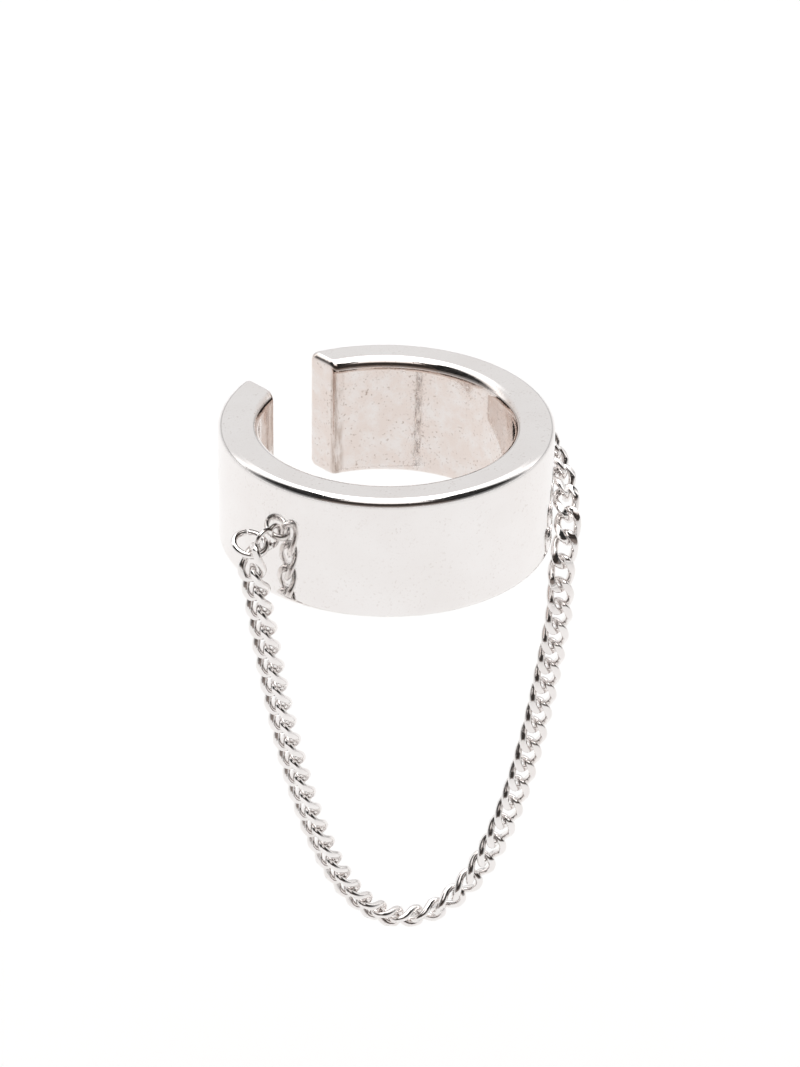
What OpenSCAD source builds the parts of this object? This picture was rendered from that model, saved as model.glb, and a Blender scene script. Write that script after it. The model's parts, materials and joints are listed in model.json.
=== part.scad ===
// Open ear cuff with a hanging curb chain. Lengths are in millimetres.
// The band stands upright round the Z axis, its open side faces +Y, and the origin is the centre of
// its bore at mid height. The chain hangs from two jump rings, each in an eyelet on the outer wall.

/* [Band] */
// Diameter of the bore that goes round the rim of the ear
band_bore = 10.64; // [8:0.05:14]
// Thickness of the wall
band_wall = 1.68; // [1.2:0.02:2.4]
// Height of the band along its axis
band_h = 5.53; // [4:0.05:8]
// Width of the open side, between its two parallel end faces
band_gap = 3.44; // [2.4:0.02:4.6]
// Rounding of the two edges round the bore
bore_edge_r = 0.5; // [0.2:0.02:0.6]
// Rounding of the two edges round the outside
outer_edge_r = 0.38; // [0.2:0.02:0.6]
// Rounding of the edges of the two end faces
end_edge_r = 0.3; // [0.2:0.02:0.36]

/* [Eyelets] */
// Wire of the small rings that are soldered to the wall
eyelet_wire = 0.22; // [0.2:0.02:0.28]
// Width of an eyelet's hole
eyelet_hole = 0.66; // [0.62:0.01:0.7]
// How far the hole reaches out from the wall
eyelet_reach = 0.6; // [0.56:0.01:0.64]
// Height of the eyelets from the middle of the band
eyelet_z = -0.02; // [-1:0.02:1]
// Angle from the middle of the open side to the left eyelet
eyelet_left = 94; // [80:0.5:110]
// Angle from the middle of the open side to the right eyelet
eyelet_right = 95.5; // [80:0.5:110]
// Turn of the left eyelet about its own reach, from lying flat
eyelet_turn_left = 90; // [80:1:100]
// Turn of the right eyelet about its own reach, from lying flat
eyelet_turn_right = 0; // [-10:1:10]

/* [Jump rings] */
// Wire of the jump rings
ring_wire = 0.28; // [0.22:0.01:0.32]
// Diameter of a jump ring along the middle of its wire
ring_d = 1.32; // [1.1:0.02:1.6]
// Width of the cut in a jump ring
ring_cut = 0.05; // [0.03:0.01:0.1]
// Angle of the cut, from the ring's outward side
ring_cut_at = 112; // [60:1:130]
// Lift of the left ring, from its eyelet to its middle
ring_rise_left = 8; // [0:1:12]
// Lift of the right ring, from its eyelet to its middle
ring_rise_right = 5; // [0:1:12]
// Lean of the left ring from upright
ring_lean_left = 72; // [60:1:80]
// Lean of the right ring from upright
ring_lean_right = 0; // [-5:1:5]
// Turn of the left ring from straight out of the wall
ring_turn_left = -12; // [-20:0.5:0]
// Turn of the right ring from straight out of the wall
ring_turn_right = -58; // [-60:1:-40]
// Where the chain hooks in the left ring, from its lowest point
hook_left = 10; // [4:1:16]
// Where the chain hooks in the right ring, from its lowest point
hook_right = 60; // [50:1:65]

/* [Chain links] */
// Wire of a link
link_wire = 0.25; // [0.2:0.01:0.3]
// Inner width of a link
link_inner_w = 0.63; // [0.58:0.01:0.7]
// Distance from one link to the next
link_pitch = 1.02; // [0.96:0.01:1.15]
// Play between the ends of neighbouring links
link_play = 0.17; // [0.12:0.01:0.2]
// Height of a link's twist to each side of its middle
link_twist = 0.31; // [0.28:0.01:0.36]
// Thickness of the chain over its ground flats
chain_t = 0.68; // [0.6:0.01:0.8]
// Gap between an end link and the wire of its jump ring
hook_gap = 0.13; // [0.06:0.01:0.16]

/* [Chain hang] */
// How far the loop starts out from its hook in the left ring
loop_out = 0.15; // [0:0.05:0.25]
// How far the loop starts below its hook in the left ring
loop_drop = 0.5; // [0.4:0.05:0.8]
// Length of the free loop, from there to where it turns round the band
hang_length = 39.9; // [34:0.1:48]
// Lean of the free loop from plumb
hang_lean = 5.2; // [0:0.1:8]
// Direction of that lean round the axis
hang_lean_to = 35; // [0:0.5:90]
// Turn of the links round the chain at its left end
turn_start = 35; // [10:1:45]
// Turn of the links round the chain at its right end
turn_end = 113; // [100:1:125]
// Further turn of the last links, which brings the end link square to the right jump ring
turn_hook = 60; // [55:1:75]

/* [Hidden] */
silver = [0.87, 0.87, 0.88];

// Radii of the band, and small sizes that follow from the wires
bore_r = band_bore / 2;
outer_r = bore_r + band_wall;
half_h = band_h / 2;
eyelet_r = (eyelet_hole + eyelet_wire) / 2;
ring_r = ring_d / 2;
link_r = link_wire / 2;
link_half_l = (link_pitch + link_wire + link_play) / 2;
link_half_w = (link_inner_w + link_wire) / 2;
link_w = link_inner_w + 2 * link_wire;

// Where the chain turns round the band on the right, from the loop's end up to the ring, chosen by
// hand: angle before the eyelet, stand-off from the wall in link widths, height in half heights
turn_points = [
    [-44.6, 0.39, -2.09],
    [-44.3, 0.39, -1.79],
    [-43.0, 0.40, -1.46],
    [-40.2, 0.47, -1.16],
    [-35.8, 0.58, -0.90],
    [-30.0, 0.60, -0.68],
    [-23.8, 0.67, -0.49],
    [-17.5, 0.74, -0.33],
    [-11.8, 0.81, -0.21]
];
// Where along the whole chain its links turn from the left end's angle to the right end's
turn_from = 0.38;
turn_to = 0.66;
end_turn_from = 0.9;
// Steps: along the free loop, between two route points, round a link and round its wire
loop_steps = 24;
curve_steps = 10;
link_steps = 14;
wire_sides = 6;

// Small functions
function unit(v) = v / norm(v);
function around(angle, r, z) = [r * cos(angle), r * sin(angle), z];
function cosh(x) = (exp(x) + exp(-x)) / 2;
function sinh(x) = (exp(x) - exp(-x)) / 2;
function asinh(x) = ln(x + sqrt(x * x + 1));
function atanh(x) = ln((1 + x) / (1 - x)) / 2;
function clamp(x, low, high) = min(high, max(low, x));
function smooth(x) = x * x * (3 - 2 * x);

// A jump ring's wire stands midway between the wall and the far side of its eyelet's hole
left_az = 90 + eyelet_left;
right_az = 90 - eyelet_right;
wire_out = outer_r + eyelet_reach / 2;
// Each ring: bearing of its eyelet, bearing of the ring, its rise and its lean
left_ring = [left_az, left_az + ring_turn_left, ring_rise_left, ring_lean_left];
right_ring = [right_az, right_az + ring_turn_right, ring_rise_right, ring_lean_right];
// The two directions that a ring's plane holds: level and outward, and up its slope
function ring_out(ring) = around(ring[1], 1, 0);
function ring_up(ring) = around(ring[1] - 90, sin(ring[3]), cos(ring[3]));
function ring_centre(ring) =
    around(ring[0], wire_out, eyelet_z)
    + ring_r * (cos(ring[2]) * ring_out(ring) + sin(ring[2]) * ring_up(ring));
function ring_point(ring, from_low) =
    ring_centre(ring) + ring_r * (sin(from_low) * ring_out(ring) - cos(from_low) * ring_up(ring));

// The free loop hangs as a chain does between two points: points at equal steps along it
function sag_root(k, low, high, n) =
    let (m = (low + high) / 2)
    n == 0 ? m : sinh(m) / m < k ? sag_root(k, m, high, n - 1) : sag_root(k, low, m, n - 1);
function hang(a, b, length, down, n) =
    let (
        up = -unit(down),
        d = b - a,
        v = d * up,
        flat = d - v * up,
        h = norm(flat),
        along = flat / h,
        r = h / (2 * sag_root(sqrt(length * length - v * v) / h, 0.001, 30, 50)),
        t0 = h / 2 - r * atanh(v / length),
        s0 = r * sinh(-t0 / r)
    )
    [for (i = [0 : n])
        let (t = r * asinh((length * i / n + s0) / r))
        a + (t + t0) * along + r * (cosh(t / r) - cosh(t0 / r)) * up];

// The route: the left hook, the loop, then the turn round the band, smoothed through its points
hook_a = ring_point(left_ring, hook_left);
hook_b = ring_point(right_ring, hook_right);
loop_start = hook_a + around(left_ring[1], loop_out, -loop_drop);
turn_route = [for (p = turn_points)
    around(right_az + p[0], outer_r + p[1] * link_w, p[2] * half_h)];
leave = turn_route[0];
down = [tan(hang_lean) * cos(hang_lean_to), tan(hang_lean) * sin(hang_lean_to), -1];
loop = hang(loop_start, leave, hang_length, down, loop_steps);
knots = concat([hook_a], loop, [for (i = [1 : len(turn_route) - 1]) turn_route[i]], [hook_b]);
last = len(knots) - 1;
function knot(i) =
    i < 0 ? 2 * knots[0] - knots[1] : i > last ? 2 * knots[last] - knots[last - 1] : knots[i];
function between(p, q, r, s, t) =
    0.5 * (2 * q + (r - p) * t + (2 * p - 5 * q + 4 * r - s) * t * t
        + (3 * q - p - 3 * r + s) * t * t * t);
route = concat(
    [for (i = [0 : last - 1], j = [0 : curve_steps - 1])
        between(knot(i - 1), knot(i), knot(i + 1), knot(i + 2), j / curve_steps)],
    [knots[last]]);
steps = [for (i = [1 : len(route) - 1]) norm(route[i] - route[i - 1])];
arc = [for (i = 0, s = 0; i < len(route); s = s + (i < len(steps) ? steps[i] : 0), i = i + 1) s];
route_l = arc[len(arc) - 1];
leave_s = arc[(loop_steps + 1) * curve_steps];
function span(s, low, high) =
    high - low < 2 ? low
    : let (m = floor((low + high) / 2)) arc[m] <= s ? span(s, m, high) : span(s, low, m);
function at(s) =
    let (i = span(s, 0, len(arc) - 1), f = (s - arc[i]) / (arc[i + 1] - arc[i]))
    route[i] * (1 - f) + route[i + 1] * f;

// Links stand at equal steps between the two hooks
hook_in = link_half_l - (link_wire + ring_wire) / 2 - hook_gap;
link_n = round((route_l - 2 * hook_in) / link_pitch) + 1;
link_step = (route_l - 2 * hook_in) / (link_n - 1);
function way(s) = unit(at(min(s + link_step / 2, route_l)) - at(max(s - link_step / 2, 0)));
facing = let (u = unit(leave - hook_a)) unit([u[1], -u[0], 0]);
// Place of link i: its centre, the way along it, across its width, and out of its flat side
function link_place(i) =
    let (
        s = hook_in + i * link_step,
        along = way(s),
        share = clamp((s / route_l - turn_from) / (turn_to - turn_from), 0, 1),
        turn = turn_start + (turn_end - turn_start) * smooth(share),
        hint = cos(turn) * facing + sin(turn) * cross(facing, way(min(s, leave_s))),
        level = unit(hint - (hint * along) * along),
        end_share = clamp((s / route_l - end_turn_from) / (1 - end_turn_from), 0, 1),
        roll = turn_hook * smooth(end_share),
        wide = cos(roll) * level + sin(roll) * cross(along, level)
    )
    [at(s), along, wide, cross(along, wide)];
// One twisted oval link, ground flat on both sides, in its own axes
link_points = [for (i = [0 : link_steps - 1], j = [0 : wire_sides - 1])
    let (
        u = 360 * i / link_steps,
        w = 360 * j / wire_sides,
        middle = [link_half_l * cos(u), link_half_w * sin(u), -link_twist * (sin(2 * u) + sin(6 * u) / 20)],
        t = unit([-link_half_l * sin(u), link_half_w * cos(u),
            -link_twist * (2 * cos(2 * u) + 0.3 * cos(6 * u))]),
        out = unit(cross(t, [0, 0, 1])),
        p = middle + link_r * (cos(w) * out + sin(w) * cross(out, t))
    )
    [p[0], p[1], clamp(p[2], -chain_t / 2, chain_t / 2)]];
link_faces = [for (i = [0 : link_steps - 1], j = [0 : wire_sides - 1], k = [0 : 1])
    let (
        a = i * wire_sides + j,
        b = i * wire_sides + (j + 1) % wire_sides,
        c = ((i + 1) % link_steps) * wire_sides + (j + 1) % wire_sides,
        d = ((i + 1) % link_steps) * wire_sides + j
    )
    k == 0 ? [a, b, c] : [a, c, d]];

// Section of the wall: a bar with its four edges rounded, each to its own side's radius
module wall_section() {
    difference() {
        translate([bore_r, -half_h])
            square([band_wall, band_h]);
        for (side = [-1, 1]) {
            corner_cut([bore_r + bore_edge_r, side * (half_h - bore_edge_r)], [-1, 0], [0, side],
                bore_edge_r);
            corner_cut([outer_r - outer_edge_r, side * (half_h - outer_edge_r)], [1, 0], [0, side],
                outer_edge_r);
        }
    }
}

// What a rounding of radius r about c takes off a corner between the directions a and b
module corner_cut(c, a, b, r) {
    difference() {
        polygon([c, c + 3 * r * a, c + 3 * r * (a + b), c + 3 * r * b]);
        translate(c)
            circle(r, $fn = 48);
    }
}

// Cuts that round the four edges of the end face at +X of the open side
module end_cuts() {
    e = end_edge_r;
    x = band_gap / 2 + e;
    in_c = [x, sqrt(pow(bore_r + e, 2) - x * x)];
    out_c = [x, sqrt(pow(outer_r - e, 2) - x * x)];
    translate([0, 0, -band_h])
        linear_extrude(2 * band_h) {
            corner_cut(in_c, [-1, 0], -unit(in_c), e);
            corner_cut(out_c, [-1, 0], unit(out_c), e);
        }
    translate([0, outer_r + band_wall / 2, 0])
        rotate([90, 0, 0])
            linear_extrude(2 * band_wall)
                for (side = [-1, 1])
                    corner_cut([x, side * (half_h - e)], [-1, 0], [0, side], e);
}

// Soldered eyelet: a small ring, partly sunk in the wall
module eyelet(az, turn) {
    rotate([0, 0, az])
        translate([outer_r + eyelet_reach - eyelet_hole / 2, 0, eyelet_z])
            rotate([turn, 0, 0])
                rotate_extrude($fn = 48)
                    translate([eyelet_r, 0])
                        circle(d = eyelet_wire, $fn = 24);
}

module ear_cuff() {
    color(silver) {
        difference() {
            rotate_extrude($fn = 180)
                wall_section();
            translate([-band_gap / 2, 0, -band_h])
                cube([band_gap, 2 * outer_r, 2 * band_h]);
            end_cuts();
            mirror([1, 0, 0])
                end_cuts();
        }
        eyelet(left_az, eyelet_turn_left);
        eyelet(right_az, eyelet_turn_right);
    }
}

// Jump ring, cut at one point
module jump_ring(ring) {
    translate(ring_centre(ring))
        rotate([90 + ring[3], 0, ring[1]])
            difference() {
                rotate_extrude($fn = 64)
                    translate([ring_r, 0])
                        circle(d = ring_wire, $fn = 24);
                rotate([0, 0, ring_cut_at])
                    translate([0, -ring_cut / 2, -ring_wire])
                        cube([ring_d, ring_cut, 2 * ring_wire]);
            }
}

module jump_ring_left() {
    color(silver)
        jump_ring(left_ring);
}

module jump_ring_right() {
    color(silver)
        jump_ring(right_ring);
}

module chain() {
    color(silver)
        for (i = [0 : link_n - 1]) {
            place = link_place(i);
            polyhedron(
                points = [for (p = link_points)
                    place[0] + p[0] * place[1] + p[1] * place[2] + p[2] * place[3]],
                faces = link_faces);
        }
}

ear_cuff();
jump_ring_left();
jump_ring_right();
chain();
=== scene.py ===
"""Open ear cuff of polished silver, with a fine curb chain that hangs from its two jump rings."""

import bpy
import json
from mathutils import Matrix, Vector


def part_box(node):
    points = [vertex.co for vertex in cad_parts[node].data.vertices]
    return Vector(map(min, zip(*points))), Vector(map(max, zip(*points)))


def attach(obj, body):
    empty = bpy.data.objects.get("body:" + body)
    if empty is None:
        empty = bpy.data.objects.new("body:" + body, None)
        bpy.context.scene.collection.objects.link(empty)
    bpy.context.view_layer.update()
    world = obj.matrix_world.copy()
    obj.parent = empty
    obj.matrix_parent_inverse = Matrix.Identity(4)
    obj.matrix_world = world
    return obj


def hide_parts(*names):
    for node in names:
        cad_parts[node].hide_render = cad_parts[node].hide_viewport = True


bl_info = {
    "name": "Ear cuff with a curb chain",
    "version": (1, 0, 0),
    "blender": (4, 5, 0),
    "location": "3D View > Sidebar > Ear Cuff",
    "description": "Builds an open silver ear cuff, its jump rings and its curb chain",
    "category": "Add Mesh",
}

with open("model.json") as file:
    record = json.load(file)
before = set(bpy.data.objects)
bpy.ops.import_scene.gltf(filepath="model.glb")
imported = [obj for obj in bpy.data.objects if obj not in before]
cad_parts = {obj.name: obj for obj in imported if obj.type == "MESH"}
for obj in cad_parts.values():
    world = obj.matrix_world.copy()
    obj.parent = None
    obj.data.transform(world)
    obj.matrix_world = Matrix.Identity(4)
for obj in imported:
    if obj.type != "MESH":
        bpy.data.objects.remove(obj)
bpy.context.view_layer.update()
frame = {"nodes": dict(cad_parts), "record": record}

import json
import math

import bmesh
import bpy
import numpy as np
from bpy.props import FloatProperty, FloatVectorProperty, IntProperty, PointerProperty
from mathutils import Quaternion, Vector

# One millimetre, in Blender's metres
MM = 0.001
MOUNTS = {mount["name"]: mount for mount in frame["record"]["mounts"]}
BORE = 2 * MOUNTS["cuff_bore"]["dims"]["r_mm"]
CUFF_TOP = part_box("ear_cuff")[1].z / MM
CHAIN_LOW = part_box("chain")[0].z
# Depth of the fine pits, in millimetres
PIT_DEPTH = 0.004
# The photograph's frame in pixels, the lens's focal length in them, and where the band's centre lies
FRAME_WIDE = 800
FRAME_HIGH = 1067
FOCAL_PIXELS = 4308.3
CUFF_ACROSS = 386.15
CUFF_DOWN = 477.4
# Width of the camera's sensor, in millimetres
SENSOR = 36


# Small maths

def bearing(degrees):
    """Level direction at an angle round the cuff's axis."""
    angle = math.radians(degrees)
    return Vector((math.cos(angle), math.sin(angle), 0.0))


def tilted(degrees, rise):
    """Direction at an angle round the axis, lifted by rise degrees."""
    lift = math.radians(rise)
    return bearing(degrees) * math.cos(lift) + Vector((0, 0, math.sin(lift)))


# Settings that a user would change. Lengths are in millimetres.

class BandSettings(bpy.types.PropertyGroup):
    """Sizes of the open band and its soldered eyelets."""
    bore: FloatProperty(
        name="Bore", description="Diameter of the bore, in mm", default=BORE, min=8, max=14)
    wall: FloatProperty(
        name="Wall", description="Thickness of the wall, in mm", default=1.68, min=1, max=3)
    height: FloatProperty(
        name="Height", description="Height of the band, in mm", default=2 * CUFF_TOP, min=3, max=9)
    gap: FloatProperty(
        name="Gap", description="Width of the open side between its two end faces, in mm",
        default=3.44, min=1, max=6)
    bore_edge: FloatProperty(
        name="Bore edge", description="Rounding of the edges round the bore, in mm",
        default=0.5, min=0.3, max=0.7)
    outer_edge: FloatProperty(
        name="Outer edge", description="Rounding of the outer edges, in mm",
        default=0.38, min=0.25, max=0.7)
    end_edge: FloatProperty(
        name="End edge", description="Rounding of the end faces' edges, in mm",
        default=0.3, min=0.05, max=0.36)
    eyelet_wire: FloatProperty(
        name="Eyelet wire", description="Wire of the soldered eyelets, in mm",
        default=0.22, min=0.1, max=0.5)
    eyelet_hole: FloatProperty(
        name="Eyelet hole", description="Width of an eyelet's hole, in mm",
        default=0.66, min=0.3, max=1)
    eyelet_reach: FloatProperty(
        name="Eyelet reach", description="How far the hole stands out of the wall, in mm",
        default=0.6, min=0.3, max=1)
    eyelet_height: FloatProperty(
        name="Eyelet height", description="Height of the eyelets over the band's middle, in mm",
        default=-0.02, min=-2, max=2)
    eyelet_left: FloatProperty(
        name="Left eyelet", description="Degrees from the open side to the left eyelet",
        default=94, min=60, max=130)
    eyelet_right: FloatProperty(
        name="Right eyelet", description="Degrees from the open side to the right eyelet",
        default=95.5, min=60, max=130)
    eyelet_turn_left: FloatProperty(
        name="Left eyelet turn", description="Degrees from lying flat to how the left eyelet stands",
        default=90, min=-90, max=90)
    eyelet_turn_right: FloatProperty(
        name="Right eyelet turn", description="Degrees from lying flat to how the right eyelet stands",
        default=0, min=-90, max=90)


class RingSettings(bpy.types.PropertyGroup):
    """Sizes of the two jump rings."""
    wire: FloatProperty(
        name="Wire", description="Thickness of the wire, in mm", default=0.28, min=0.1, max=0.5)
    across: FloatProperty(
        name="Across", description="Diameter along the middle of the wire, in mm",
        default=1.32, min=0.8, max=2)
    cut: FloatProperty(
        name="Cut", description="Width of the cut, in mm", default=0.05, min=0.01, max=0.2)
    cut_at: FloatProperty(
        name="Cut at", description="Degrees from the outward side up to the cut",
        default=112, min=0, max=180)
    rise_left: FloatProperty(
        name="Left rise", description="Lift of the left ring from its eyelet to its middle, in degrees",
        default=8, min=-20, max=20)
    rise_right: FloatProperty(
        name="Right rise", description="Lift of the right ring from its eyelet to its middle, in degrees",
        default=5, min=-20, max=20)
    lean_left: FloatProperty(
        name="Left lean", description="Lean of the left ring from upright, in degrees",
        default=72, min=-90, max=90)
    lean_right: FloatProperty(
        name="Right lean", description="Lean of the right ring from upright, in degrees",
        default=0, min=-90, max=90)
    turn_left: FloatProperty(
        name="Left turn", description="Turn of the left ring from straight out, in degrees",
        default=-12, min=-60, max=60)
    turn_right: FloatProperty(
        name="Right turn", description="Turn of the right ring from straight out, in degrees",
        default=-58, min=-80, max=60)


class LinkSettings(bpy.types.PropertyGroup):
    """Sizes of one link of the curb chain."""
    wire: FloatProperty(
        name="Wire", description="Thickness of the wire, in mm", default=0.33, min=0.1, max=0.5)
    half_length: FloatProperty(
        name="Half length", description="From the link's centre to the end bend's middle, in mm",
        default=0.7, min=0.4, max=1)
    half_width: FloatProperty(
        name="Half width", description="From the link's centre to the side's middle, in mm",
        default=0.42, min=0.2, max=0.8)
    twist: FloatProperty(
        name="Twist", description="How far the wire leaves the link's plane, in mm",
        default=0.26, min=0, max=0.5)
    thick: FloatProperty(
        name="Thickness", description="Across the two ground flats, in mm",
        default=0.66, min=0.4, max=1)
    around: IntProperty(name="Steps", description="Steps round the link", default=44, min=12, max=80)
    sides: IntProperty(name="Sides", description="Sides of the wire", default=14, min=6, max=24)


class FinishSettings(bpy.types.PropertyGroup):
    """Colour and polish of the silver, and the colours of the painted shade inside the band."""
    silver: FloatVectorProperty(
        name="Silver", description="Colour of the polished silver", subtype="COLOR", size=3,
        default=(0.90, 0.878, 0.868), min=0, max=1)
    worn: FloatVectorProperty(
        name="Worn silver", description="Colour of the thin film that handling leaves",
        subtype="COLOR", size=3, default=(0.83, 0.79, 0.77), min=0, max=1)
    # Painted shade: the brownish colour that darkens the bore's wall, its rounding and the end faces.
    inside: FloatVectorProperty(
        name="Inside", description="Colour of the film inside the bore and on the end faces",
        subtype="COLOR", size=3, default=(0.785, 0.70, 0.655), min=0, max=1)
    # Brown specks on the metal, and painted shade in the inner corner between the bore and the end faces.
    tarnish_and_shade: FloatVectorProperty(
        name="Tarnish", description="Colour of the brown tarnish in specks and inner corners",
        subtype="COLOR", size=3, default=(0.42, 0.33, 0.28), min=0, max=1)
    polish: FloatProperty(
        name="Roughness", description="Roughness of the cleanest metal", subtype="FACTOR",
        default=0.03, min=0, max=1)
    smudge: FloatProperty(
        name="Smudges", description="Roughness of the most handled metal", subtype="FACTOR",
        default=0.13, min=0, max=1)
    pits: FloatProperty(
        name="Pits", description="Strength of the fine pits", subtype="FACTOR",
        default=0.35, min=0, max=1)


class StageSettings(bpy.types.PropertyGroup):
    """Floor, light and camera."""
    floor_drop: FloatProperty(
        name="Floor drop", description="How far the floor lies under the chain", unit="LENGTH",
        default=0.03, min=0, max=0.5)
    floor_tone: FloatVectorProperty(
        name="Floor", description="Colour of the floor", subtype="COLOR", size=3,
        default=(0.96, 0.96, 0.96), min=0, max=1)
    overhead: FloatProperty(
        name="Overhead", description="Strength of the large lamp overhead, in watts",
        default=1.42, min=0, max=20)
    lamp_wide: FloatProperty(
        name="Lamp width", description="Width of the lamp, across the view", unit="LENGTH",
        default=0.42, min=0.05, max=2)
    lamp_long: FloatProperty(
        name="Lamp length", description="Length of the lamp, along the view", unit="LENGTH",
        default=0.55, min=0.05, max=2)
    lamp_height: FloatProperty(
        name="Lamp height", description="Height of the lamp over the band's centre", unit="LENGTH",
        default=0.5, min=0.1, max=3)
    lamp_behind: FloatProperty(
        name="Lamp behind", description="How far the lamp's centre lies behind the band's", unit="LENGTH",
        default=0.15, min=-1, max=1)
    lamp_tint: FloatVectorProperty(
        name="Lamp colour", description="Colour of the lamp overhead", subtype="COLOR", size=3,
        default=(1.0, 0.995, 0.99), min=0, max=1)
    tent: FloatProperty(
        name="Tent", description="Brightness of the white tent", default=1.36, min=0, max=4)
    tent_tint: FloatVectorProperty(
        name="Tent colour", description="Colour of the white tent's light", subtype="COLOR", size=3,
        default=(1.0, 0.993, 0.99), min=0, max=1)
    back: FloatProperty(
        name="Back wall", description="Brightness of the tent behind the piece",
        default=0.84, min=0, max=4)
    low: FloatProperty(
        name="Low gap", description="Brightness of the gap low round the tent",
        default=0.55, min=0, max=4)
    front: FloatProperty(
        name="Open front", description="Brightness of the darkest parts of the tent's open front",
        default=0.02, min=0, max=4)
    patches: FloatProperty(
        name="Front patches", description="Brightness of the palest patches of the open front",
        default=0.10, min=0, max=4)
    middle: FloatProperty(
        name="Open middle", description="Brightness straight behind the camera",
        default=0.045, min=0, max=4)
    middle_tint: FloatVectorProperty(
        name="Middle colour", description="Colour of the light from straight behind the camera",
        subtype="COLOR", size=3, default=(1.0, 0.84, 0.76), min=0, max=1)
    lower: FloatProperty(
        name="Low front", description="Brightness of the lower part of the open front",
        default=0.24, min=0, max=4)
    distance: FloatProperty(
        name="Camera distance", description="From the band's centre to the camera", unit="LENGTH",
        default=0.18, min=0.05, max=1)
    azimuth: FloatProperty(
        name="Camera bearing", description="Degrees round the axis from +X to the camera",
        default=226.5, min=-360, max=360)
    elevation: FloatProperty(
        name="Camera rise", description="Degrees above level", default=29.15, min=-10, max=85)
    roll: FloatProperty(
        name="Camera roll", description="Turn of the camera round its line of sight, in degrees",
        default=0.58, min=-10, max=10)


# Materials

# Millimetres past the bore's wall and past an end face where the painted brownish shade inside starts to
# fade and is gone
WALL_FADE = (0.08, 0.3)
END_FADE = (0.06, 0.24)
# The same two distances for the painted shade in the corner between them
CORNER_WALL_FADE = (0.16, 0.3)
CORNER_END_FADE = (0.2, 0.45)


def node(tree, kind, **values):
    """Adds a shader node and sets its plain properties."""
    made = tree.nodes.new(kind)
    for name, value in values.items():
        setattr(made, name, value)
    return made


def feed(tree, entry, value):
    """Links a socket to an input, or sets a plain value on it."""
    if isinstance(value, bpy.types.NodeSocket):
        tree.links.new(value, entry)
    else:
        entry.default_value = value


def maths(tree, operation, *values):
    """Result of a Math node over sockets and plain numbers."""
    made = node(tree, "ShaderNodeMath", operation=operation)
    for entry, value in zip(made.inputs, values):
        feed(tree, entry, value)
    return made.outputs["Value"]


def product(tree, first, *others):
    """Product of one value and any others."""
    for other in others:
        first = maths(tree, "MULTIPLY", first, other)
    return first


def vector_maths(tree, operation, source, other=None):
    """Result of a Vector Math node over a socket and, where it takes one, a plain vector."""
    made = node(tree, "ShaderNodeVectorMath", operation=operation)
    tree.links.new(source, made.inputs[0])
    if other is not None:
        made.inputs[1].default_value = other
    return made.outputs["Value" if operation in ("LENGTH", "DOT_PRODUCT") else "Vector"]


def axis_parts(tree, source):
    """The X, Y and Z outputs of a vector."""
    made = node(tree, "ShaderNodeSeparateXYZ")
    tree.links.new(source, made.inputs[0])
    return made.outputs


def map_range(tree, source, kind, start, end, low, high):
    """Value that goes from low at start to high at end."""
    made = node(tree, "ShaderNodeMapRange", interpolation_type=kind)
    made.inputs["From Min"].default_value = start
    made.inputs["From Max"].default_value = end
    made.inputs["To Min"].default_value = low
    made.inputs["To Max"].default_value = high
    tree.links.new(source, made.inputs["Value"])
    return made.outputs["Result"]


def smooth_step(tree, source, start, end):
    """Smooth step from 0 at start to 1 at end, which may lie under start."""
    if start < end:
        return map_range(tree, source, "SMOOTHSTEP", start, end, 0.0, 1.0)
    return map_range(tree, source, "SMOOTHSTEP", end, start, 1.0, 0.0)


def ramp(tree, source, low, high):
    """Grey ramp over a source, between two (position, grey) stops."""
    made = node(tree, "ShaderNodeValToRGB")
    for element, (position, grey) in zip(made.color_ramp.elements, (low, high)):
        element.position = position
        element.color = (grey, grey, grey, 1)
    tree.links.new(source, made.inputs["Fac"])
    return made.outputs["Color"]


def noise(tree, place, scale, detail, rough):
    """Noise over a place, scale in waves for each unit of it."""
    made = node(tree, "ShaderNodeTexNoise")
    made.inputs["Scale"].default_value = scale
    made.inputs["Detail"].default_value = detail
    made.inputs["Roughness"].default_value = rough
    tree.links.new(place, made.inputs["Vector"])
    return made.outputs["Fac"]


def mix(tree, kind, share, first, second):
    """Mix of two values or two colours, each a socket or plain."""
    made = node(tree, "ShaderNodeMix", data_type=kind)
    for name, value in (("Factor", share), ("A", first), ("B", second)):
        feed(tree, made.inputs[name], value)
    return made.outputs["Result"]


def blend(tree, share, first, second):
    """Mix of two colours, each a socket or three plain values."""
    colours = [part if isinstance(part, bpy.types.NodeSocket) else (*part, 1) for part in (first, second)]
    return mix(tree, "RGBA", share, *colours)


def bump(tree, height, strength, depth, over=None):
    """Normal of a relief, its depth in millimetres, laid over another relief."""
    made = node(tree, "ShaderNodeBump")
    made.inputs["Strength"].default_value = strength
    made.inputs["Distance"].default_value = depth * MM
    tree.links.new(height, made.inputs["Height"])
    if over is not None:
        tree.links.new(over, made.inputs["Normal"])
    return made.outputs["Normal"]


def fade(tree, distance, surface, span):
    """Value that falls from 1 to 0 over a span past a surface."""
    return smooth_step(tree, distance, surface + span[1], surface + span[0])


def inside_places(tree, place, band):
    """How far a place lies on the bore's wall or an end face, and how far in the corner between them."""
    wall, face = band.bore / 2, band.gap / 2
    parts = axis_parts(tree, place)
    reach = vector_maths(tree, "LENGTH", vector_maths(tree, "MULTIPLY", place, (1, 1, 0)))
    width = maths(tree, "ABSOLUTE", parts["X"])
    open_side = maths(tree, "GREATER_THAN", parts["Y"], 0.0)
    bore = fade(tree, reach, wall, WALL_FADE)
    end = product(tree, fade(tree, width, face, END_FADE), open_side)
    # The corner's share says where the painted shade of the inner corner goes.
    near_wall = fade(tree, reach, wall, CORNER_WALL_FADE)
    near_end = fade(tree, width, face, CORNER_END_FADE)
    corner = product(tree, near_wall, near_end, open_side)
    return maths(tree, "MAXIMUM", bore, end), corner


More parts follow.
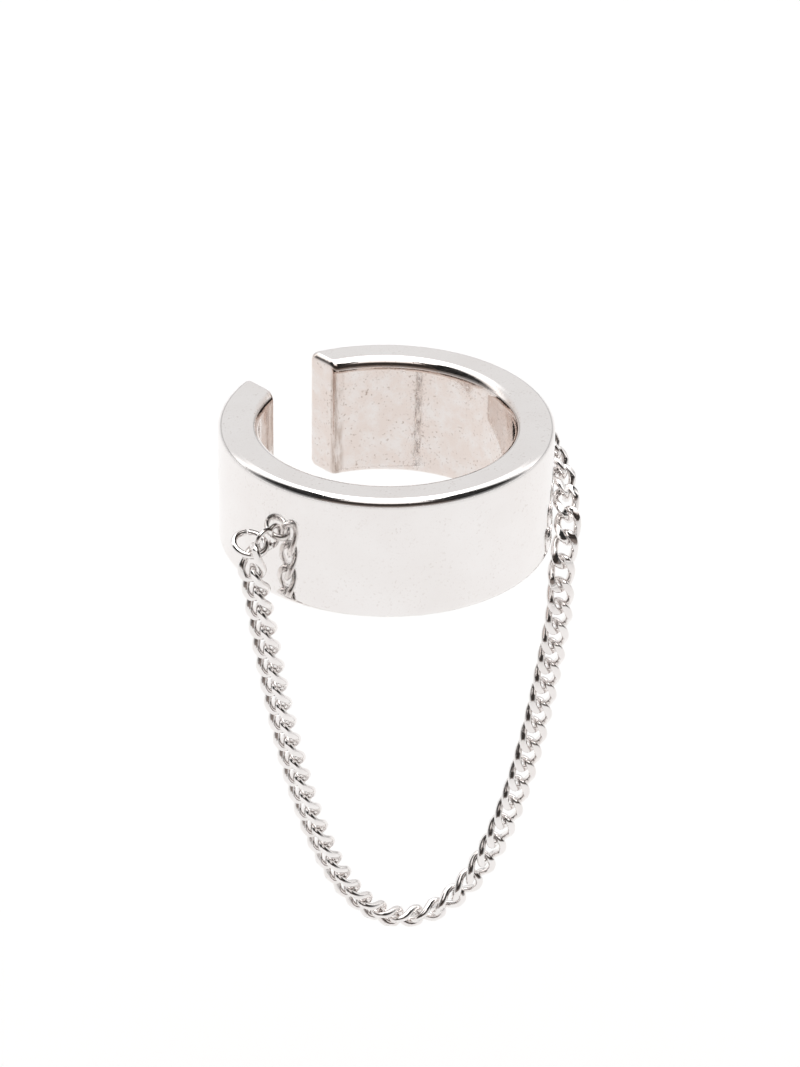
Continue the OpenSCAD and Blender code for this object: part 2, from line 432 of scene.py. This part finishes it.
def painted_shade_and_specks(tree, place, colour, finish, band):
    """Band's colour with painted brownish shade in uneven clouds inside, brown specks, and painted shade in
    upright streaks in the inner corner.
    """
    inside, corner = inside_places(tree, place, band)
    # Painted shade: the bore's wall, its rounding and the end faces take on the brownish inside colour, in
    # uneven clouds.
    clouds = noise(tree, place, scale=1.3, detail=5.0, rough=0.65)
    cloudy = ramp(tree, clouds, (0.44, 0.0), (0.64, 0.85))
    colour = blend(tree, inside, colour, blend(tree, cloudy, finish.inside, finish.worn))

    dots = ramp(tree, noise(tree, place, scale=8.5, detail=1.0, rough=0.5), (0.63, 0.0), (0.71, 0.9))
    patches = ramp(tree, noise(tree, place, scale=0.8, detail=2.0, rough=0.5), (0.40, 0.1), (0.65, 1.0))
    everywhere = ramp(tree, inside, (0.0, 0.22), (1.0, 1.0))
    colour = blend(tree, product(tree, dots, patches, everywhere), colour, finish.tarnish_and_shade)

    # Painted shade: upright brown streaks darken the inner corner between the bore and the end faces.
    upright = vector_maths(tree, "MULTIPLY", place, (1, 1, 0.22))
    grain = noise(tree, upright, scale=5.0, detail=3.0, rough=0.6)
    streaks = ramp(tree, grain, (0.38, 0.1), (0.62, 0.75))
    return blend(tree, product(tree, streaks, corner), colour, finish.tarnish_and_shade)


def silver_material(name, finish, pit_scale, pit_share, wave_depth, film, band=None):
    """Polished silver: a thin uneven film, smudges, fine pits and the slight waves of hand polish."""
    made = bpy.data.materials.new(name)
    made.use_nodes = True
    tree = made.node_tree
    shader = tree.nodes["Principled BSDF"]
    shader.inputs["Metallic"].default_value = 1.0
    scaled = node(tree, "ShaderNodeVectorMath", operation="SCALE")
    scaled.inputs["Scale"].default_value = 1 / MM
    tree.links.new(node(tree, "ShaderNodeTexCoord").outputs["Object"], scaled.inputs[0])
    place = scaled.outputs["Vector"]

    clouds = noise(tree, place, scale=0.35, detail=4.0, rough=0.6)
    specks = noise(tree, place, scale=pit_scale, detail=2.0, rough=0.55)
    film_share = ramp(tree, clouds, (0.35, 0.0), (0.75, film))
    speck_share = product(tree, ramp(tree, specks, (0.62, 0.0), (0.72, 0.5)), pit_share)
    colour = blend(tree, maths(tree, "ADD", film_share, speck_share), finish.silver, finish.worn)
    # On the band, painted brownish shade is laid inside and in the inner corner, with brown specks.
    if band:
        colour = painted_shade_and_specks(tree, place, colour, finish, band)
    tree.links.new(colour, shader.inputs["Base Color"])

    smears = noise(tree, place, scale=0.9, detail=5.0, rough=0.65)
    roughness = map_range(tree, smears, "LINEAR", 0.35, 0.8, finish.polish, finish.smudge)
    tree.links.new(roughness, shader.inputs["Roughness"])

    pits = bump(tree, ramp(tree, specks, (0.58, 1.0), (0.74, 0.0)), finish.pits, PIT_DEPTH)
    waves = noise(tree, place, scale=0.8, detail=2.0, rough=0.4)
    tree.links.new(bump(tree, waves, 1.0, wave_depth, over=pits), shader.inputs["Normal"])
    return made


# Meshes

def mesh_object(name, points, faces, normals=None):
    """Object of a mesh given in millimetres, smooth, with its true normals where they are known."""
    mesh = bpy.data.meshes.new(name)
    mesh.from_pydata([Vector(point) * MM for point in points], [], faces)
    mesh.shade_smooth()
    if normals is not None:
        mesh.normals_split_custom_set_from_vertices([Vector(normal).normalized() for normal in normals])
    mesh.update()
    made = bpy.data.objects.new(name, mesh)
    bpy.context.scene.collection.objects.link(made)
    return made


def tube_faces(rings, sides, closed):
    """Quads between rings of points, and flat caps where the tube is open."""
    faces = []
    last = rings if closed else rings - 1
    for ring in range(last):
        start = ring * sides
        after = ((ring + 1) % rings) * sides
        for side in range(sides):
            beside = (side + 1) % sides
            faces.append((start + side, start + beside, after + beside, after + side))
    if not closed:
        faces.append(tuple(range(sides - 1, -1, -1)))
        faces.append(tuple(range((rings - 1) * sides, rings * sides)))
    return faces


def wall_outline(band, inset, steps=12):
    """Round the wall's section, drawn in by inset: reach, height and the outward direction there."""
    low = band.bore / 2 + inset
    high = band.bore / 2 + band.wall - inset
    top = band.height / 2 - inset
    inner = band.bore_edge - inset
    outer = band.outer_edge - inset
    corners = (
        (high - outer, top - outer, outer, 0),
        (low + inner, top - inner, inner, 90),
        (low + inner, inner - top, inner, 180),
        (high - outer, outer - top, outer, 270),
    )
    outline = []
    for reach, height, radius, start in corners:
        for step in range(steps + 1):
            angle = math.radians(start + 90 * step / steps)
            out, up = math.cos(angle), math.sin(angle)
            outline.append((reach + radius * out, height + radius * up, out, up))
    return outline


def band_mesh(band):
    """Points, normals and faces of the open band. Its two end faces are parallel and rounded all round."""
    points = []
    normals = []
    # Steps over an end's rounding, steps from there to the square part, and the degrees between
    rounds = 8
    blends = 6
    blend_turn = 4
    ease = band.end_edge
    plane = band.gap / 2 + ease
    core = wall_outline(band, ease)
    skin = wall_outline(band, 0)
    first = math.degrees(math.asin(plane / (band.bore / 2 + ease))) + blend_turn

    def end_rings(side, order):
        """Rings over the rounding of the end face on one side, drawn as a ball rolls over it."""
        face = Vector((-side, 0, 0))
        for step in order:
            for reach, height, out, up in core:
                spot = Vector((side * plane, math.sqrt(reach * reach - plane * plane), 0))
                away = spot.normalized() * out + Vector((0, 0, up))
                normal = away.slerp(face, step / rounds).normalized()
                points.append(spot + Vector((0, 0, height)) + normal * ease)
                normals.append(normal)

    def blend_rings(side, order):
        """Rings from the end's rounding to the first ring that stands square to the band."""
        for step in order:
            for (inner_reach, _, out, up), (reach, height, _, _) in zip(core, skin):
                start = math.degrees(math.asin(plane / inner_reach))
                radial = bearing(90 - side * (start + (first - start) * step / blends))
                points.append(radial * reach + Vector((0, 0, height)))
                normals.append(radial * out + Vector((0, 0, up)))

    end_rings(-1, range(rounds, -1, -1))
    blend_rings(-1, range(1, blends))
    steps = 216
    for step in range(steps + 1):
        radial = bearing(90 + first + (360 - 2 * first) * step / steps)
        for reach, height, out, up in skin:
            points.append(radial * reach + Vector((0, 0, height)))
            normals.append(radial * out + Vector((0, 0, up)))
    blend_rings(1, range(blends - 1, 0, -1))
    end_rings(1, range(rounds + 1))
    sides = len(skin)
    faces = tube_faces(len(points) // sides, sides, closed=False)
    faces = [tuple(reversed(face)) for face in faces]
    return points, normals, faces


def eyelet_mesh(band, angle, turn, steps=72, sides=24):
    """Small ring sunk in the wall, thicker where the solder has run up its wire."""
    tip = math.radians(turn)
    outer = band.bore / 2 + band.wall
    reach = outer + band.eyelet_reach - band.eyelet_hole / 2
    radius = (band.eyelet_hole + band.eyelet_wire) / 2
    radial = bearing(angle)
    across = bearing(angle + 90) * math.cos(tip) + Vector((0, 0, math.sin(tip)))
    flat = radial.cross(across)
    centre = radial * reach + Vector((0, 0, band.eyelet_height))
    # Share by which the solder thickens the wire at the wall, and how far it runs up, in millimetres
    solder = 0.55
    run_up = 0.09
    points = []
    for step in range(steps):
        spin = 2 * math.pi * step / steps
        away = radial * math.cos(spin) + across * math.sin(spin)
        middle = centre + away * radius
        clear = max(0.0, math.hypot(middle.x, middle.y) - outer)
        thick = band.eyelet_wire / 2 * (1 + solder * math.exp(-(clear / run_up) ** 2))
        for side in range(sides):
            roll = 2 * math.pi * side / sides
            points.append(middle + (away * math.cos(roll) + flat * math.sin(roll)) * thick)
    return points, tube_faces(steps, sides, closed=True)


def ring_mesh(band, ring, angle, turn, rise, lean, steps=120, sides=24):
    """Jump ring bent from round wire, with the two filed ends of its cut."""
    lift, tip = math.radians(rise), math.radians(lean)
    outer = band.bore / 2 + band.wall
    radius = ring.across / 2
    wire = ring.wire / 2
    start = bearing(angle) * (outer + band.eyelet_reach / 2) + Vector((0, 0, band.eyelet_height))
    level = bearing(angle + turn)
    slope = bearing(angle + turn - 90) * math.sin(tip) + Vector((0, 0, math.cos(tip)))
    centre = start + (level * math.cos(lift) + slope * math.sin(lift)) * radius
    flat = level.cross(slope)

    # Each filed end is rounded by this much, in millimetres, over this many rings of points
    filed = 0.035
    filed_rings = 5
    filed_turn = math.degrees(filed / radius)
    half_cut = math.degrees(ring.cut / 2 / radius)
    first = ring.cut_at + half_cut
    last = ring.cut_at + 360 - half_cut
    rounding = []
    for step in range(filed_rings):
        share = math.radians(90 * step / (filed_rings - 1))
        rounding.append((filed_turn * (1 - math.cos(share)), wire - filed * (1 - math.sin(share))))
    stations = [(first + turned, thick) for turned, thick in rounding]
    body = steps - 2 * filed_rings
    for step in range(1, body):
        stations.append((first + filed_turn + (last - first - 2 * filed_turn) * step / body, wire))
    stations.extend((last - turned, thick) for turned, thick in reversed(rounding))

    points = []
    for degrees, thick in stations:
        spin = math.radians(degrees)
        away = level * math.cos(spin) + slope * math.sin(spin)
        for side in range(sides):
            roll = 2 * math.pi * side / sides
            reach = radius + thick * math.cos(roll)
            points.append(centre + away * reach + flat * (thick * math.sin(roll)))
    return points, tube_faces(len(stations), sides, closed=False)


def link_shape(link):
    """One twisted oval link of round wire, ground flat on both faces, in its own axes."""
    length, width, twist = link.half_length, link.half_width, link.twist
    # Share by which the twist is flattened at its tops
    ripple = 0.05
    points = []
    for step in range(link.around):
        turn = 2 * math.pi * step / link.around
        middle = Vector((
            length * math.cos(turn),
            width * math.sin(turn),
            -twist * (math.sin(2 * turn) + ripple * math.sin(6 * turn)),
        ))
        along = Vector((
            -length * math.sin(turn),
            width * math.cos(turn),
            -twist * (2 * math.cos(2 * turn) + 6 * ripple * math.cos(6 * turn)),
        )).normalized()
        out = along.cross(Vector((0, 0, 1))).normalized()
        up = out.cross(along)
        for side in range(link.sides):
            roll = 2 * math.pi * side / link.sides
            points.append(middle + (out * math.cos(roll) + up * math.sin(roll)) * link.wire / 2)
    shape = bmesh.new()
    corners = [shape.verts.new(point) for point in points]
    for face in tube_faces(link.around, link.sides, closed=True):
        shape.faces.new([corners[index] for index in face])
    for side in (1, -1):
        cut = bmesh.ops.bisect_plane(
            shape, geom=shape.verts[:] + shape.edges[:] + shape.faces[:], dist=1e-6,
            plane_co=(0, 0, side * link.thick / 2), plane_no=(0, 0, side), clear_outer=True)
        rim = [item for item in cut["geom_cut"] if isinstance(item, bmesh.types.BMEdge)]
        bmesh.ops.holes_fill(shape, edges=rim, sides=0)
    bmesh.ops.recalc_face_normals(shape, faces=shape.faces[:])
    shape.verts.index_update()
    places = [vertex.co.copy() for vertex in shape.verts]
    faces = [[vertex.index for vertex in face.verts] for face in shape.faces]
    shape.free()
    return places, faces


def chain_solids():
    """Points of each separate solid of the CAD chain, in millimetres."""
    shape = bmesh.new()
    shape.from_mesh(frame["nodes"]["chain"].data)
    bmesh.ops.remove_doubles(shape, verts=shape.verts[:], dist=1e-6)
    shape.verts.index_update()
    seen = set()
    solids = []
    for vertex in shape.verts:
        if vertex.index in seen:
            continue
        seen.add(vertex.index)
        solid = []
        waiting = [vertex]
        while waiting:
            here = waiting.pop()
            solid.append(here.co / MM)
            for edge in here.link_edges:
                other = edge.other_vert(here)
                if other.index not in seen:
                    seen.add(other.index)
                    waiting.append(other)
        solids.append(np.array(solid))
    shape.free()
    return solids


def link_places():
    """Where each link of the CAD chain hangs: its centre and its axes, from the left ring on."""
    solids = chain_solids()
    centres = [solid.mean(0) for solid in solids]
    left = max(range(len(solids)), key=lambda index: centres[index][2] - centres[index][0])
    order = [left]
    while len(order) < len(solids):
        rest = [index for index in range(len(solids)) if index not in order]
        order.append(min(rest, key=lambda index: np.linalg.norm(centres[index] - centres[order[-1]])))
    places = []
    for index in order:
        axes = np.linalg.svd(solids[index] - centres[index], full_matrices=False)[2]
        along, wide = Vector(axes[0]), Vector(axes[1])
        places.append((Vector(centres[index]), along, wide, along.cross(wide)))
    return places


# Operators

def settings():
    """All settings, kept on the scene."""
    return bpy.context.scene.ear_cuff


def finish_piece(piece, material, slot, *nodes):
    """Gives a piece its metal, lets it ride on the part, and hides the CAD parts that it stands for."""
    piece.data.materials.append(material)
    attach(piece, "root")
    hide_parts(*nodes)


class EARCUFF_OT_band(bpy.types.Operator):
    """Build the open band and the two eyelets that are soldered to it"""
    bl_idname = "ear_cuff.band"
    bl_label = "Band and eyelets"

    def execute(self, context):
        band = settings().band
        silver = silver_material(
            "polished_band_silver", settings().finish,
            pit_scale=9.0, pit_share=0.8, wave_depth=0.0025, film=0.5, band=band)
        points, normals, faces = band_mesh(band)
        piece = mesh_object("band", points, faces, normals)
        finish_piece(piece, silver, "cuff_silver", "ear_cuff")
        eyelets = (
            ("eyelet_left", 90 + band.eyelet_left, band.eyelet_turn_left),
            ("eyelet_right", 90 - band.eyelet_right, band.eyelet_turn_right),
        )
        for name, angle, turn in eyelets:
            points, faces = eyelet_mesh(band, angle, turn)
            finish_piece(mesh_object(name, points, faces), silver, "cuff_silver", "ear_cuff")
        return {"FINISHED"}


class EARCUFF_OT_jump_rings(bpy.types.Operator):
    """Build the two cut jump rings in their eyelets"""
    bl_idname = "ear_cuff.jump_rings"
    bl_label = "Jump rings"

    def execute(self, context):
        band, ring = settings().band, settings().ring
        silver = silver_material(
            "drawn_wire_silver", settings().finish,
            pit_scale=14.0, pit_share=0.5, wave_depth=0.0015, film=0.4)
        left = (90 + band.eyelet_left, ring.turn_left, ring.rise_left, ring.lean_left)
        right = (90 - band.eyelet_right, ring.turn_right, ring.rise_right, ring.lean_right)
        rings = (
            ("jump_ring_wire_left", left, "jump_ring_left"),
            ("jump_ring_wire_right", right, "jump_ring_right"),
        )
        for name, place, replaced in rings:
            points, faces = ring_mesh(band, ring, *place)
            piece = mesh_object(name, points, faces)
            piece.data.set_sharp_from_angle(angle=math.radians(50))
            finish_piece(piece, silver, "ring_silver", replaced)
        return {"FINISHED"}


class EARCUFF_OT_chain(bpy.types.Operator):
    """Build the links of the curb chain where the chain hangs"""
    bl_idname = "ear_cuff.chain"
    bl_label = "Curb chain"

    def execute(self, context):
        link = settings().link
        silver = silver_material(
            "curb_link_silver", settings().finish,
            pit_scale=16.0, pit_share=0.5, wave_depth=0.001, film=0.9)
        shape, shape_faces = link_shape(link)
        places = link_places()
        if len(places) < 2:
            raise RuntimeError("the CAD chain has no separate links to follow")
        points = []
        faces = []
        for centre, along, wide, normal in places:
            start = len(points)
            points.extend(centre + along * spot.x + wide * spot.y + normal * spot.z for spot in shape)
            faces.extend([start + index for index in face] for face in shape_faces)
        piece = mesh_object("curb_links", points, faces)
        piece.data.set_sharp_from_angle(angle=math.radians(38))
        finish_piece(piece, silver, "chain_silver", "chain")
        return {"FINISHED"}


class EARCUFF_OT_stage(bpy.types.Operator):
    """Build the pale floor, the soft light and the camera"""
    bl_idname = "ear_cuff.stage"
    bl_label = "Stage"

    def execute(self, context):
        stage = settings().stage
        self.floor(stage)
        self.tent(stage)
        self.overhead(stage)
        self.camera(stage)
        bpy.context.scene.view_settings.view_transform = "Standard"
        return {"FINISHED"}

    def floor(self, stage):
        """Plain pale floor, well under the chain."""
        low = (CHAIN_LOW - stage.floor_drop) / MM
        half = 3000
        corners = [(-half, -half, low), (half, -half, low), (half, half, low), (-half, half, low)]
        piece = mesh_object("floor", corners, [(0, 1, 2, 3)])
        paper = bpy.data.materials.new("pale_paper")
        paper.use_nodes = True
        shader = paper.node_tree.nodes["Principled BSDF"]
        shader.inputs["Base Color"].default_value = (*stage.floor_tone, 1)
        shader.inputs["Roughness"].default_value = 0.9
        shader.inputs["Specular IOR Level"].default_value = 0.1
        piece.data.materials.append(paper)

    def tent(self, stage):
        """White tent round the piece, greyer behind it and open in front where the camera stands."""
        world = bpy.data.worlds.new("tent")
        bpy.context.scene.world = world
        world.use_nodes = True
        tree = world.node_tree
        light = tree.nodes["Background"]
        direction = node(tree, "ShaderNodeTexCoord").outputs["Generated"]
        height = axis_parts(tree, direction)["Z"]
        toward = vector_maths(tree, "DOT_PRODUCT", direction, bearing(stage.azimuth))
        aside = vector_maths(tree, "DOT_PRODUCT", direction, bearing(stage.azimuth + 90))
        turned = maths(tree, "ABSOLUTE", maths(tree, "ARCTAN2", aside, toward))

        def region(*edges):
            """Share of a region of the tent. An edge is a value, and where the share is 0 and 1 along it."""
            return product(tree, *(smooth_step(tree, *edge) for edge in edges))

        # Height is the sine of the rise, and turned is the bearing off the camera's side, in radians.
        # The open front is dark and uneven at both sides, brown in the middle, and paler low down.
        floor_edge = (height, 0.12, 0.22)
        sides = region((turned, 0.60, 0.80), (turned, 1.95, 1.60), floor_edge, (height, 0.975, 0.93))
        middle = region((turned, 0.9, 0.7), floor_edge, (height, 0.87, 0.74))
        opening = maths(tree, "MAXIMUM", middle, sides)
        lower = product(tree, opening, region((height, 0.44, 0.32)))
        gap = region((height, 0.01, 0.04), (height, 0.17, 0.12))
        back_wall = region((toward, -0.35, -0.6), (height, 0.75, 0.6))
        clouds = noise(tree, direction, scale=9.0, detail=2.0, rough=0.6)
        uneven = ramp(tree, clouds, (0.50, stage.front), (0.78, stage.patches))
        brightness = stage.tent
        regions = (
            (back_wall, stage.back),
            (gap, stage.low),
            (middle, stage.middle),
            (sides, uneven),
            (lower, stage.lower),
        )
        for share, value in regions:
            brightness = mix(tree, "FLOAT", share, brightness, value)
        tree.links.new(brightness, light.inputs["Strength"])
        tree.links.new(blend(tree, middle, stage.tent_tint, stage.middle_tint), light.inputs["Color"])

    def overhead(self, stage):
        """Large soft lamp overhead, a little behind the piece."""
        lamp = bpy.data.lights.new("overhead", "AREA")
        lamp.shape = "RECTANGLE"
        lamp.size = stage.lamp_wide
        lamp.size_y = stage.lamp_long
        lamp.energy = stage.overhead
        lamp.color = stage.lamp_tint
        holder = bpy.data.objects.new("overhead", lamp)
        behind = bearing(stage.azimuth + 180) * stage.lamp_behind
        level_turn = Quaternion((0, 0, 1), math.radians(stage.azimuth + 90))
        holder.location = behind + Vector((0, 0, stage.lamp_height))
        holder.rotation_mode = "QUATERNION"
        holder.rotation_quaternion = Vector((0, 0, -1)).to_track_quat("-Z", "Y") @ level_turn
        bpy.context.scene.collection.objects.link(holder)

    def camera(self, stage):
        """Camera at the photograph's angle, with the small shift that its framing needs."""
        lens = bpy.data.cameras.new("camera")
        holder = bpy.data.objects.new("camera", lens)
        bpy.context.scene.collection.objects.link(holder)
        place = tilted(stage.azimuth, stage.elevation) * stage.distance
        roll = Quaternion((0, 0, 1), math.radians(stage.roll))
        holder.location = place
        holder.rotation_mode = "QUATERNION"
        holder.rotation_quaternion = (-place).to_track_quat("-Z", "Y") @ roll
        lens.sensor_width = SENSOR
        lens.sensor_fit = "AUTO"
        lens.lens = FOCAL_PIXELS / FRAME_HIGH * SENSOR
        lens.shift_x = (FRAME_WIDE / 2 - CUFF_ACROSS) / FRAME_HIGH
        lens.shift_y = (CUFF_DOWN - FRAME_HIGH / 2) / FRAME_HIGH
        lens.clip_start = 0.001
        lens.clip_end = 20
        bpy.context.scene.camera = holder


class EarCuffSettings(bpy.types.PropertyGroup):
    """All settings of the ear cuff."""
    band: PointerProperty(type=BandSettings, name="Band", description="Sizes of the band and eyelets")
    ring: PointerProperty(type=RingSettings, name="Rings", description="Sizes of the jump rings")
    link: PointerProperty(type=LinkSettings, name="Links", description="Sizes of a link")
    finish: PointerProperty(type=FinishSettings, name="Finish", description="Colour and polish")
    stage: PointerProperty(type=StageSettings, name="Stage", description="Floor, light and camera")


class EARCUFF_PT_panel(bpy.types.Panel):
    """Settings and steps of the ear cuff"""
    bl_idname = "EARCUFF_PT_panel"
    bl_label = "Ear Cuff"
    bl_space_type = "VIEW_3D"
    bl_region_type = "UI"
    bl_category = "Ear Cuff"

    def draw(self, context):
        groups = (
            ("band", EARCUFF_OT_band),
            ("ring", EARCUFF_OT_jump_rings),
            ("link", EARCUFF_OT_chain),
            ("finish", None),
            ("stage", EARCUFF_OT_stage),
        )
        for name, operator in groups:
            group = getattr(context.scene.ear_cuff, name)
            box = self.layout.box()
            box.label(text=name.capitalize())
            for key in group.__annotations__:
                box.prop(group, key)
            if operator:
                box.operator(operator.bl_idname)


CLASSES = (
    BandSettings,
    RingSettings,
    LinkSettings,
    FinishSettings,
    StageSettings,
    EarCuffSettings,
    EARCUFF_OT_band,
    EARCUFF_OT_jump_rings,
    EARCUFF_OT_chain,
    EARCUFF_OT_stage,
    EARCUFF_PT_panel,
)


def register():
    """Makes the settings, steps and panel known to Blender."""
    for item in CLASSES:
        bpy.utils.register_class(item)
    bpy.types.Scene.ear_cuff = PointerProperty(type=EarCuffSettings)


def unregister():
    """Takes them away again."""
    del bpy.types.Scene.ear_cuff
    for item in reversed(CLASSES):
        bpy.utils.unregister_class(item)


def main():
    """Builds the whole piece and its stage."""
    register()
    bpy.ops.ear_cuff.band()
    bpy.ops.ear_cuff.jump_rings()
    bpy.ops.ear_cuff.chain()
    bpy.ops.ear_cuff.stage()


if __name__ == "__main__":
    main()
